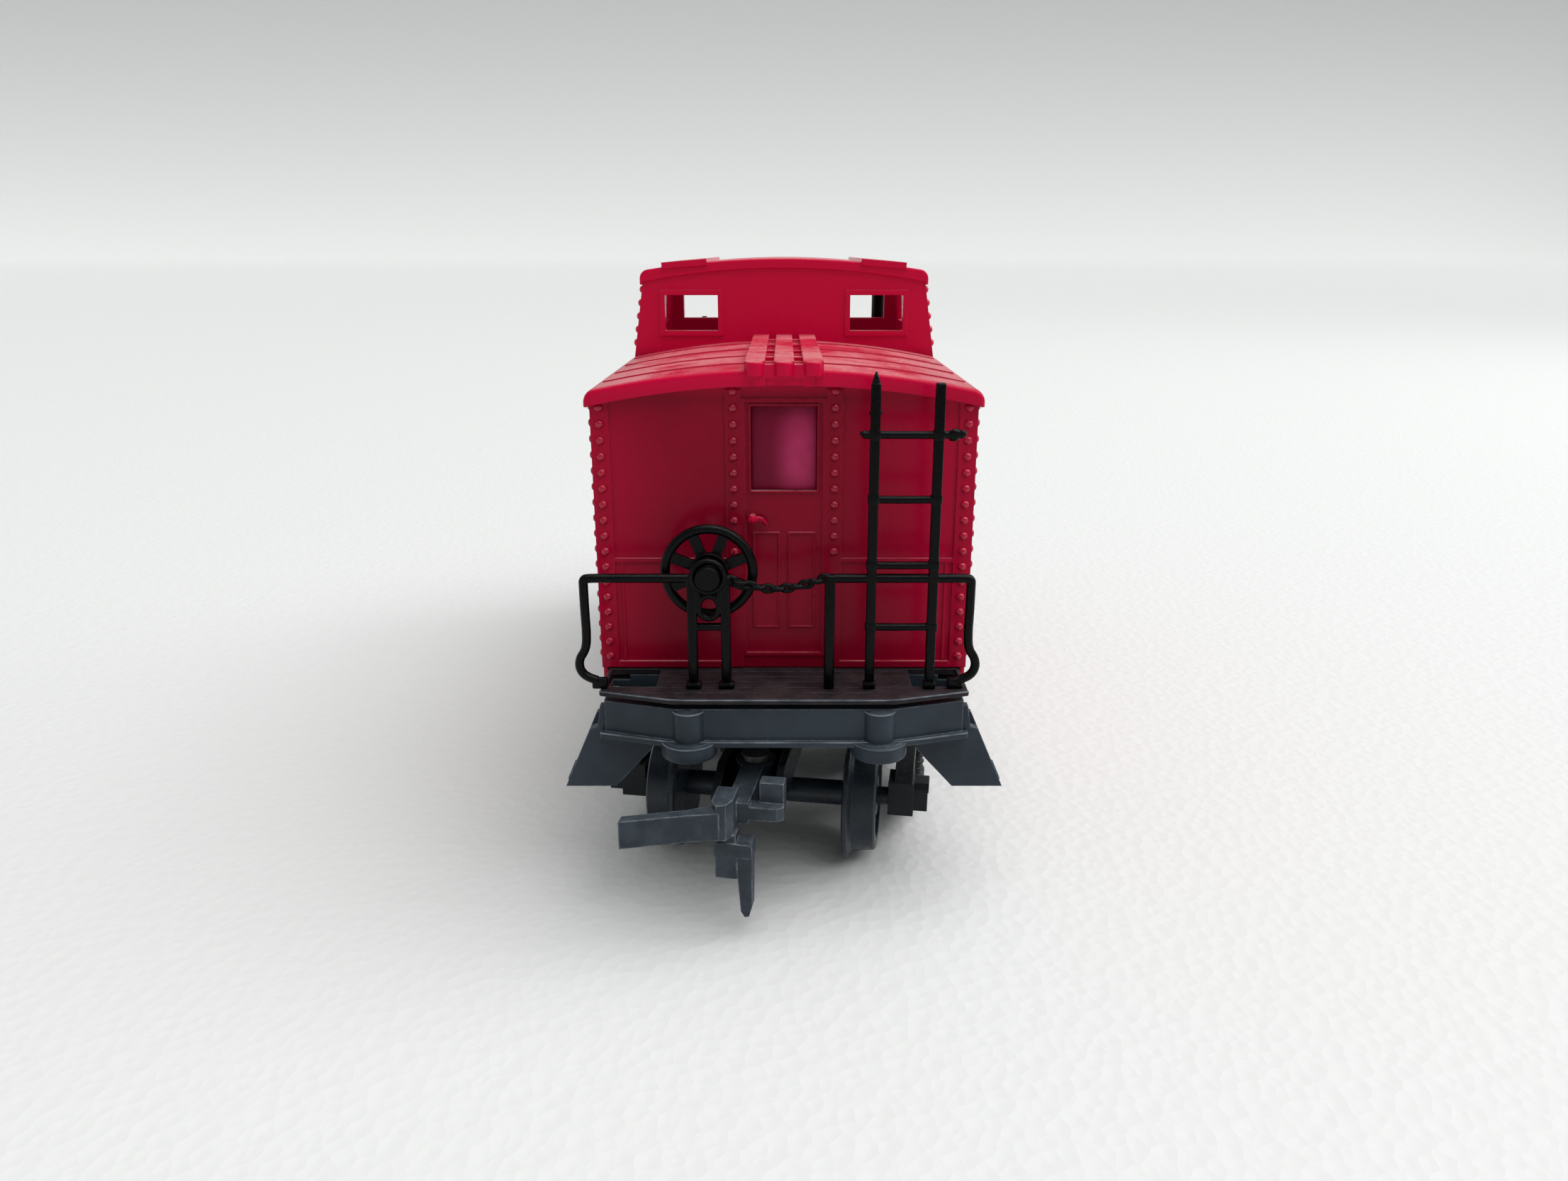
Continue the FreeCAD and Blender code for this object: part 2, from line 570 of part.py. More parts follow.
def side_frame():
    """Right side frame: arch bars, journal boxes and the spring nest."""
    half = WHEELBASE / 2
    outline = [
        (-half - 1.4, 4.6), (-half - 1.4, 7.6), (-half + 1.6, 8.6), (-3.6, 9.3),
        (3.6, 9.3), (half - 1.6, 8.6), (half + 1.4, 7.6), (half + 1.4, 4.6),
        (half - 1.8, 4.6), (4.6, 1.9), (-4.6, 1.9), (-half + 1.8, 4.6),
    ]
    plate = prism_yz(outline, FRAME_INNER_X, FRAME_OUTER_X)
    for side in (-1, 1):
        hole = [(side * 2.9, 3.0), (side * 4.4, 3.0), (side * 6.9, 5.2), (side * 6.9, 7.2), (side * 2.9, 7.9)]
        plate = plate.cut(prism_yz(hole, FRAME_INNER_X - 1, FRAME_OUTER_X + 1))
    nest = [(-2.5, 2.8), (2.5, 2.8), (2.5, 6.6), (-2.5, 6.6)]
    pieces = [plate.cut(prism_yz(nest, FRAME_INNER_X + 0.7, FRAME_OUTER_X + 1))]
    spring_x = FRAME_OUTER_X - 0.1
    for y in (-1.5, 0, 1.5):
        pieces.append(cylinder(0.62, (spring_x, y, 2.7), (0, 0, 1), 4.0))
        for level in range(5):
            centre = Vector(spring_x, y, 3.3 + 0.7 * level)
            pieces.append(Part.makeTorus(0.55, 0.22, centre, Vector(0, 0, 1)))
    pieces.append(box(FRAME_INNER_X, FRAME_OUTER_X + 0.7, -2.6, 2.6, 1.9, 2.8))
    pieces.append(box(FRAME_INNER_X, FRAME_OUTER_X + 0.5, -2.6, 2.6, 6.6, 7.3))
    for y in axle_positions():
        pieces.append(box(FRAME_INNER_X - 0.5, FRAME_OUTER_X + 0.1, y - 1.4, y + 1.4, 4.55, 7.6))
        pieces.append(box(FRAME_OUTER_X, FRAME_OUTER_X + 1.3, y - 1.15, y + 1.15, 5.0, 7.0))
        lid = [(y - 1.2, 6.8), (y - 0.8, 7.5), (y + 0.8, 7.5), (y + 1.2, 6.8)]
        pieces.append(prism_yz(lid, FRAME_OUTER_X, FRAME_OUTER_X + 1.4))
    solid = fuse(pieces)
    for y in axle_positions():
        depth = AXLE_HALF_LENGTH + 0.12 - FRAME_INNER_X + 0.6
        mouth = (FRAME_INNER_X - 0.6, y, FLANGE_RADIUS)
        solid = solid.cut(cylinder(JOURNAL_RADIUS + RUNNING_GAP, mouth, (1, 0, 0), depth))
    return solid


def axle(y):
    """Axle with reduced journals at both ends."""
    middle = BACK_TO_BACK / 2
    body = cylinder(AXLE_RADIUS, (-middle, y, FLANGE_RADIUS), (1, 0, 0), BACK_TO_BACK)
    shaft = cylinder(JOURNAL_RADIUS, (-AXLE_HALF_LENGTH, y, FLANGE_RADIUS), (1, 0, 0), 2 * AXLE_HALF_LENGTH)
    return fuse([body, shaft])


def wheel(y):
    """Right-hand flanged wheel, turned from its half section."""
    inner = BACK_TO_BACK / 2
    outer = inner + WHEEL_WIDTH
    section = [
        (inner, JOURNAL_RADIUS), (inner, FLANGE_RADIUS - 0.35), (inner + 0.15, FLANGE_RADIUS),
        (inner + 0.45, FLANGE_RADIUS), (inner + 0.8, TREAD_RADIUS + 0.1), (outer - 0.15, TREAD_RADIUS - 0.1),
        (outer, TREAD_RADIUS - 0.3), (outer, TREAD_RADIUS - 1.1), (outer - 0.7, TREAD_RADIUS - 1.4),
        (outer - 0.7, 2.0), (outer - 0.1, 1.7), (outer - 0.1, JOURNAL_RADIUS),
    ]
    wire = polygon_wire([(x, y, FLANGE_RADIUS + radius) for x, radius in section])
    return Part.Face(wire).revolve(Vector(0, y, FLANGE_RADIUS), Vector(1, 0, 0), 360)


def coupler():
    """Horn-hook coupler: shank, hooked head, horn, guard arm and trip pin."""
    z = COUPLER_BOTTOM_Z
    pivot = -COUPLER_PIVOT_REACH
    head_y = -COUPLER_HEAD_REACH
    shank = box(-0.9, 0.9, head_y - 1.0, pivot, z, z + 1.7)
    eye = cylinder(1.7, (0, pivot, z), (0, 0, 1), 1.7)
    head_outline = [
        (-1.7, head_y), (-0.1, head_y), (-0.1, head_y - 2.0), (-0.5, head_y - 3.0),
        (-1.2, head_y - 3.2), (-1.7, head_y - 2.4),
    ]
    head = prism_xy(head_outline, z - 0.5, z + 2.5)
    horn_outline = [
        (-1.0, head_y - 1.5), (-1.0, head_y - 3.2), (-3.2, head_y - 3.8), (-8.1, head_y - 5.6),
        (-8.1, head_y - 4.7), (-3.4, head_y - 2.9),
    ]
    horn = prism_xy(horn_outline, z - 0.4, z + 1.85)
    guard_outline = [
        (-0.6, head_y + 0.2), (3.2, head_y + 0.2), (3.55, head_y - 0.2), (3.55, head_y - 0.6),
        (3.1, head_y - 1.0), (-0.6, head_y - 1.0),
    ]
    guard = prism_xy(guard_outline, z + 0.3, z + 1.4)
    block = box(1.6, 3.5, head_y - 0.1, head_y + 1.1, z + 0.3, z + 3.1)
    neck = box(-0.9, 0.1, head_y - 2.3, head_y - 0.7, z - 1.2, z - 0.4)
    bridge = box(-1.6, 1.4, head_y - 2.4, head_y - 0.7, z - 2.3, z - 1.1)
    bridge = round_edges(bridge, 0.35, lambda p: p.z > z - 1.2 and abs(p.y - head_y + 1.55) < 0.1)
    tab = box(-1.5, 0.2, head_y - 2.4, head_y - 0.7, z - 4.1, z - 2.2)
    pin = prism_xz([(0.1, z - 2.2), (1.4, z - 2.2), (1.35, 3.0), (1.1, 2.1), (0.75, 2.0), (0.45, 2.5)],
                   head_y - 2.3, head_y - 1.3)
    solid = fuse([shank, eye, head, horn, guard, block, neck, bridge, tab, pin])
    return solid.cut(cylinder(COUPLER_PIN_RADIUS + RUNNING_GAP, (0, pivot, z - 1), (0, 0, 1), 5))


def coupler_pin():
    z = COUPLER_BOTTOM_Z
    shank = cylinder(COUPLER_PIN_RADIUS, (0, -COUPLER_PIVOT_REACH, 8.4), (0, 0, 1), z + 1.9 - 8.4)
    head = cylinder(1.2, (0, -COUPLER_PIVOT_REACH, z + 1.8), (0, 0, 1), 0.5)
    return fuse([shank, head])


def kingpin():
    """Truck screw: head under the bolster, shank up into the underframe."""
    head = cylinder(2.6, (0, 0, 8.35), (0, 0, 1), 1.15)
    head = round_edges(head, 0.3, lambda p: p.z < 8.4)
    shank = cylinder(KINGPIN_RADIUS, (0, 0, 9.4), (0, 0, 1), 7.0)
    slot = box(-3, 3, -0.35, 0.35, 8.0, 8.85)
    return fuse([head, shank]).cut(slot)


def place_truck(shape):
    """Move a truck piece from the Z axis to the front kingpin, turned by the yaw."""
    moved = shape.copy()
    moved.rotate(Vector(0, 0, 0), Vector(0, 0, 1), TRUCK_YAW)
    moved.translate(Vector(0, -TRUCK_Y, 0))
    return moved


def truck_pieces():
    frame = side_frame()
    pieces = {
        "truck_bolster": truck_bolster(),
        "truck_right_side_frame": frame,
        "truck_left_side_frame": mirror_x(frame),
        "coupler": coupler(),
        "coupler_pin": coupler_pin(),
        "kingpin": kingpin(),
    }
    for name, y in zip(("outer", "inner"), axle_positions()):
        pieces[name + "_axle"] = axle(y)
        pieces[name + "_right_wheel"] = wheel(y)
        pieces[name + "_left_wheel"] = mirror_x(wheel(y))
    return pieces


def all_pieces():
    pieces = {
        "body_shell": body_shell(),
        "underframe": underframe(),
        "smokestack": smokestack(),
        "ballast_weight": ballast_weight(),
    }
    right_steps = steps()
    ends = {
        "platform_deck": platform_deck(),
        "end_railing": end_railing(),
        "brake_wheel": brake_wheel(),
        "right_steps": right_steps,
        "left_steps": mirror_x(right_steps),
    }
    for name, shape in truck_pieces().items():
        ends[name] = place_truck(shape)
    for name, shape in ends.items():
        pieces["front_" + name] = shape
        pieces["rear_" + name] = half_turn(shape)
    return pieces


def main():
    os.makedirs("parts", exist_ok=True)
    for name, shape in all_pieces().items():
        shape.exportStep("parts/" + name + ".step")
        print(name, "valid" if shape.isValid() else "NOT VALID", len(shape.Solids), round(shape.Volume, 2))


main()
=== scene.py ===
import bmesh
import bpy
import json
import math
from mathutils import Matrix, Vector, noise


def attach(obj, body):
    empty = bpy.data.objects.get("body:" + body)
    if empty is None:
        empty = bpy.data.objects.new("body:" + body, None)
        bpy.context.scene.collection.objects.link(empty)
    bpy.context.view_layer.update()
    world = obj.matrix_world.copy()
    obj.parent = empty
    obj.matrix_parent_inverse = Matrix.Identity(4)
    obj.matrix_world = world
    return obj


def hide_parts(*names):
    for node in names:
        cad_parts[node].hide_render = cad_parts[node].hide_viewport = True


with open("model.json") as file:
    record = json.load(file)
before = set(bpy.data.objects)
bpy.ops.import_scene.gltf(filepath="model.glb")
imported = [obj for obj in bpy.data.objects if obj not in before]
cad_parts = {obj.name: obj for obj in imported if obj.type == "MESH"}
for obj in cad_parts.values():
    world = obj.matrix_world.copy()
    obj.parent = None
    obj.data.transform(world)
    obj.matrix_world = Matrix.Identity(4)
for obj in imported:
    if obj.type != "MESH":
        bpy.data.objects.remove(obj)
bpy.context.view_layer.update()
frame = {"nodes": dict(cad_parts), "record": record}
nodes = frame["nodes"]
mm = 0.001
ends = {"front": 0.0, "rear": math.pi}


# rounds the given edges of a mesh that is being built

def roundEdges(bm, edges, offset, segments):
    bmesh.ops.bevel(
        bm, geom=edges, offset=offset, affect="EDGES", segments=segments, profile=0.5, material=-1)


# camera, lights and floor

def buildCamera():
    view = {"lens": 25.39, "height": 52.0, "distance": 123.2, "pitch": 17.2}
    data = bpy.data.cameras.new("camera")
    data.lens = view["lens"]
    data.sensor_width = 36.0
    data.clip_start = 0.001
    data.clip_end = 10.0
    camera = bpy.data.objects.new("camera", data)
    camera.location = (0, -view["distance"] * mm, view["height"] * mm)
    camera.rotation_euler = (math.radians(90 - view["pitch"]), 0, 0)
    bpy.context.scene.collection.objects.link(camera)
    bpy.context.scene.camera = camera


def aimedLight(name, kind, look):
    data = bpy.data.lights.new(name, kind)
    data.energy = look["power"]
    data.color = look["colour"]
    if kind == "AREA":
        data.size = look["size"]
    else:
        data.angle = math.radians(look["spread"])
    lamp = bpy.data.objects.new(name, data)
    lamp.location = look["place"]
    aim = Vector(look["target"]) - lamp.location
    lamp.rotation_euler = aim.to_track_quat("-Z", "Y").to_euler()
    bpy.context.scene.collection.objects.link(lamp)


def buildLights():
    room = {"colour": (0.84, 0.86, 0.86, 1), "strength": 0.47}
    target = (0, 0, 0.03)
    ceiling = {
        "place": (0.36, -0.12, 1.0), "target": target, "spread": 70.0, "power": 3.15,
        "colour": (1.0, 0.99, 0.975)}
    window = {
        "place": (0.62, 0.10, 0.40), "target": target, "size": 0.4, "power": 1.6,
        "colour": (1.0, 0.99, 0.98)}
    aimedLight("ceilingGlow", "SUN", ceiling)
    aimedLight("windowSide", "AREA", window)
    world = bpy.data.worlds.new("studio")
    world.use_nodes = True
    backdrop = world.node_tree.nodes["Background"]
    backdrop.inputs["Color"].default_value = room["colour"]
    backdrop.inputs["Strength"].default_value = room["strength"]
    bpy.context.scene.world = world
    bpy.context.scene.view_settings.view_transform = "Standard"


def buildFloor():
    look = {
        "colour": (0.60, 0.61, 0.61, 1), "rough": 0.7, "cells": 900.0, "bump": 0.4, "relief": 0.2,
        "reach": 6.0, "wall": 2.4, "sweep": 1.5}
    bm = bmesh.new()
    bmesh.ops.create_grid(bm, x_segments=1, y_segments=1, size=look["reach"])
    border = list(bm.edges)
    raised = bmesh.ops.extrude_edge_only(bm, edges=border)["geom"]
    rim = [part for part in raised if isinstance(part, bmesh.types.BMVert)]
    bmesh.ops.translate(bm, verts=rim, vec=(0, 0, look["wall"]))
    bends = [edge for edge in bm.edges if any(vert.co.z < look["wall"] / 2 for vert in edge.verts)]
    roundEdges(bm, bends, look["sweep"], 12)
    mesh = bpy.data.meshes.new("floor")
    bm.to_mesh(mesh)
    bm.free()
    mesh.shade_smooth()
    material = bpy.data.materials.new("paleVinyl")
    material.use_nodes = True
    tree = material.node_tree
    skin = tree.nodes["Principled BSDF"]
    cells = addNode(tree, "ShaderNodeTexVoronoi")
    cells.inputs["Scale"].default_value = look["cells"]
    coords = addNode(tree, "ShaderNodeTexCoord")
    tree.links.new(coords.outputs["Object"], cells.inputs["Vector"])
    bump = addNode(tree, "ShaderNodeBump")
    bump.inputs["Strength"].default_value = look["bump"]
    bump.inputs["Distance"].default_value = look["relief"] * mm
    tree.links.new(cells.outputs["Distance"], bump.inputs["Height"])
    tree.links.new(bump.outputs["Normal"], skin.inputs["Normal"])
    skin.inputs["Base Color"].default_value = look["colour"]
    skin.inputs["Roughness"].default_value = look["rough"]
    mesh.materials.append(material)
    floor = bpy.data.objects.new("floor", mesh)
    bpy.context.scene.collection.objects.link(floor)


# small helpers for shader nodes

def addNode(tree, kind, **settings):
    node = tree.nodes.new(kind)
    for key, value in settings.items():
        setattr(node, key, value)
    return node


def plug(tree, value, socket):
    if isinstance(value, (int, float)):
        socket.default_value = value
    elif isinstance(value, tuple):
        socket.default_value = (*value, 1)
    else:
        tree.links.new(value, socket)


def mathNode(tree, operation, first, second, clamp=False):
    node = addNode(tree, "ShaderNodeMath", operation=operation, use_clamp=clamp)
    plug(tree, first, node.inputs[0])
    plug(tree, second, node.inputs[1])
    return node.outputs[0]


def rangeNode(tree, value, low, high, toLow=0.0, toHigh=1.0):
    node = addNode(tree, "ShaderNodeMapRange", interpolation_type="SMOOTHSTEP")
    tree.links.new(value, node.inputs["Value"])
    for name, number in (("From Min", low), ("From Max", high), ("To Min", toLow), ("To Max", toHigh)):
        plug(tree, number, node.inputs[name])
    return node.outputs["Result"]


def objectPlace(tree):
    return addNode(tree, "ShaderNodeTexCoord").outputs["Object"]


def noiseNode(tree, scale, detail=4.0, roughness=0.55, vector=None, distortion=0.0):
    node = addNode(tree, "ShaderNodeTexNoise")
    tree.links.new(vector or objectPlace(tree), node.inputs["Vector"])
    plug(tree, scale, node.inputs["Scale"])
    node.inputs["Detail"].default_value = detail
    node.inputs["Roughness"].default_value = roughness
    node.inputs["Distortion"].default_value = distortion
    return node.outputs["Fac"]


def mixColour(tree, mask, under, over):
    node = addNode(tree, "ShaderNodeMix", data_type="RGBA")
    for name, value in (("Factor", mask), ("A", under), ("B", over)):
        socket = [s for s in node.inputs if s.name == name and s.enabled][0]
        plug(tree, value, socket)
    return [s for s in node.outputs if s.enabled][0]


def newGroup(name, inputs, outputs):
    group = bpy.data.node_groups.new(name, "ShaderNodeTree")
    for label, value in inputs:
        socket = group.interface.new_socket(label, in_out="INPUT", socket_type="NodeSocketFloat")
        socket.default_value = value
    for label, kind in outputs:
        group.interface.new_socket(label, in_out="OUTPUT", socket_type=kind)
    return group, addNode(group, "NodeGroupInput"), addNode(group, "NodeGroupOutput")


# effects that several materials share

def buildEdgeWear():
    look = {"samples": 6, "detail": 5.0, "roughness": 0.7, "gate": (0.62, 0.40)}
    group, given, result = newGroup(
        "edgeWear",
        [("Radius", 0.15 * mm), ("Gain", 3.0), ("Breakup Scale", 900.0), ("Breakup", 0.5)],
        [("Mask", "NodeSocketFloat"), ("Normal", "NodeSocketVector")])
    bevel = addNode(group, "ShaderNodeBevel", samples=look["samples"])
    group.links.new(given.outputs["Radius"], bevel.inputs["Radius"])
    surface = addNode(group, "ShaderNodeNewGeometry")
    dot = addNode(group, "ShaderNodeVectorMath", operation="DOT_PRODUCT")
    group.links.new(bevel.outputs["Normal"], dot.inputs[0])
    group.links.new(surface.outputs["Normal"], dot.inputs[1])
    turn = mathNode(group, "SUBTRACT", 1.0, dot.outputs["Value"], clamp=True)
    edge = mathNode(group, "MULTIPLY", turn, given.outputs["Gain"], clamp=True)
    breakup = noiseNode(group, given.outputs["Breakup Scale"], look["detail"], look["roughness"])
    gate = rangeNode(group, breakup, *look["gate"])
    keep = mathNode(group, "SUBTRACT", 1.0, mathNode(group, "MULTIPLY", given.outputs["Breakup"], gate))
    group.links.new(mathNode(group, "MULTIPLY", edge, keep, clamp=True), result.inputs["Mask"])
    group.links.new(bevel.outputs["Normal"], result.inputs["Normal"])
    return group


def buildSettledDust():
    look = {
        "slopeBand": 0.4, "patches": (0.36, 0.60, 0.15, 1.0), "grain": (0.30, 0.70, 0.6, 1.0),
        "lessAbove": 0.85}
    group, given, result = newGroup(
        "settledDust",
        [("Amount", 0.6), ("Patch Scale", 160.0), ("Grain Scale", 2600.0), ("Slope", 0.45), ("Ceiling", 1.0)],
        [("Mask", "NodeSocketFloat")])
    surface = addNode(group, "ShaderNodeNewGeometry")
    facing = addNode(group, "ShaderNodeSeparateXYZ")
    group.links.new(surface.outputs["Normal"], facing.inputs[0])
    flat = mathNode(group, "ADD", given.outputs["Slope"], look["slopeBand"])
    top = rangeNode(group, facing.outputs["Z"], given.outputs["Slope"], flat)
    patches = noiseNode(group, given.outputs["Patch Scale"], 5.0, 0.62, distortion=0.6)
    patches = rangeNode(group, patches, *look["patches"])
    grain = rangeNode(group, noiseNode(group, given.outputs["Grain Scale"], 3.0, 0.7), *look["grain"])
    place = addNode(group, "ShaderNodeSeparateXYZ")
    group.links.new(objectPlace(group), place.inputs[0])
    above = mathNode(group, "GREATER_THAN", place.outputs["Z"], given.outputs["Ceiling"])
    below = mathNode(group, "SUBTRACT", 1.0, mathNode(group, "MULTIPLY", above, look["lessAbove"]))
    mask = mathNode(group, "MULTIPLY", mathNode(group, "MULTIPLY", top, patches), grain)
    mask = mathNode(group, "MULTIPLY", mask, below)
    mask = mathNode(group, "MULTIPLY", mask, given.outputs["Amount"], clamp=True)
    group.links.new(mask, result.inputs["Mask"])
    return group


def buildMouldGrain():
    look = {"waveShare": 0.65, "fineShare": 0.35}
    group, given, result = newGroup(
        "mouldGrain",
        [("Fine Scale", 3000.0), ("Wave Scale", 120.0)],
        [("Height", "NodeSocketFloat"), ("Tone", "NodeSocketFloat"), ("Gloss", "NodeSocketFloat")])
    fine = noiseNode(group, given.outputs["Fine Scale"], 3.0, 0.6)
    wave = noiseNode(group, given.outputs["Wave Scale"], 3.0, 0.5)
    low = mathNode(group, "MULTIPLY", wave, look["waveShare"])
    high = mathNode(group, "MULTIPLY", fine, look["fineShare"])
    group.links.new(mathNode(group, "ADD", high, low), result.inputs["Height"])
    group.links.new(wave, result.inputs["Tone"])
    group.links.new(fine, result.inputs["Gloss"])
    return group


edgeWear = buildEdgeWear()
settledDust = buildSettledDust()
mouldGrain = buildMouldGrain()


def placeGroup(tree, group, values):
    node = addNode(tree, "ShaderNodeGroup", node_tree=group)
    for name, value in values.items():
        node.inputs[name].default_value = value
    return node


plastic = {
    "breakupScale": 1400.0, "breakup": 0.75, "tone": (0.35, 0.65), "gloss": (0.3, 0.7),
    "cornerLight": 0.75, "eaveBand": 0.2, "dustDulls": 0.4, "relief": 0.05, "ior": 1.5,
    "highCeiling": 1000.0,
}


def mouldedPlastic(name, look):
    material = bpy.data.materials.new(name)
    material.use_nodes = True
    tree = material.node_tree
    skin = tree.nodes["Principled BSDF"]
    wear = placeGroup(tree, edgeWear, {
        "Radius": look["edge"] * mm, "Gain": look["wearGain"],
        "Breakup Scale": plastic["breakupScale"], "Breakup": plastic["breakup"]})
    dust = placeGroup(tree, settledDust, {
        "Amount": look["dust"], "Patch Scale": look["dustPatch"], "Slope": look["dustSlope"],
        "Ceiling": look.get("dustCeiling", plastic["highCeiling"]) * mm})
    grain = placeGroup(tree, mouldGrain, {"Fine Scale": look["grain"], "Wave Scale": look["wave"]})
    blend = rangeNode(tree, grain.outputs["Tone"], *plastic["tone"])
    tone = mixColour(tree, blend, look["deep"], look["base"])
    worn = mathNode(tree, "MULTIPLY", wear.outputs["Mask"], look["wear"], clamp=True)
    # painted light: brighter red near the top, towards the side corners and under the eaves, plus a faint
    # painted glow (emission) along the top
    if "litColour" in look:
        place = addNode(tree, "ShaderNodeSeparateXYZ")
        tree.links.new(objectPlace(tree), place.inputs[0])
        upper = rangeNode(tree, place.outputs["Z"], look["litFrom"] * mm, look["litTo"] * mm)
        shifted = mathNode(tree, "ADD", place.outputs["X"], look["litShift"] * mm)
        across = mathNode(tree, "ABSOLUTE", shifted, 0.0)
        corner = rangeNode(
            tree, across, look["litInner"] * mm, look["litOuter"] * mm, 0.0, plastic["cornerLight"])
        along = mathNode(tree, "ABSOLUTE", place.outputs["Y"], 0.0)
        eave = rangeNode(tree, along, look["litEnd"] * mm, (look["litEnd"] + plastic["eaveBand"]) * mm)
        lit = mathNode(tree, "MAXIMUM", mathNode(tree, "MAXIMUM", upper, corner), eave)
        tone = mixColour(tree, lit, tone, look["litColour"])
        tree.links.new(mixColour(tree, upper, (0.0, 0.0, 0.0), look["glow"]), skin.inputs["Emission Color"])
        skin.inputs["Emission Strength"].default_value = 1.0
    tone = mixColour(tree, worn, tone, look["wornColour"])
    tone = mixColour(tree, dust.outputs["Mask"], tone, look["dustColour"])
    smoothest = look["rough"] - look["roughSpread"]
    roughest = look["rough"] + look["roughSpread"]
    gloss = rangeNode(tree, grain.outputs["Gloss"], *plastic["gloss"], smoothest, roughest)
    dull = mathNode(tree, "MULTIPLY", dust.outputs["Mask"], plastic["dustDulls"])
    bump = addNode(tree, "ShaderNodeBump")
    bump.inputs["Strength"].default_value = look["bump"]
    bump.inputs["Distance"].default_value = plastic["relief"] * mm
    tree.links.new(grain.outputs["Height"], bump.inputs["Height"])
    tree.links.new(wear.outputs["Normal"], bump.inputs["Normal"])
    tree.links.new(tone, skin.inputs["Base Color"])
    tree.links.new(mathNode(tree, "ADD", gloss, dull, clamp=True), skin.inputs["Roughness"])
    tree.links.new(bump.outputs["Normal"], skin.inputs["Normal"])
    skin.inputs["IOR"].default_value = plastic["ior"]
    skin.inputs["Specular IOR Level"].default_value = look["sheen"]
    return material


# painted light: the red is painted brighter at its upper corners and under the eaves, where light gets
# through, and its top band is given a faint painted glow

throughLight = {
    "litColour": (0.42, 0.0008, 0.030), "glow": (0.068, 0.0001, 0.005), "litEnd": 37.4,
    "litFrom": 40.6, "litTo": 43.0, "litShift": 2.0, "litInner": 6.0, "litOuter": 16.0,
}

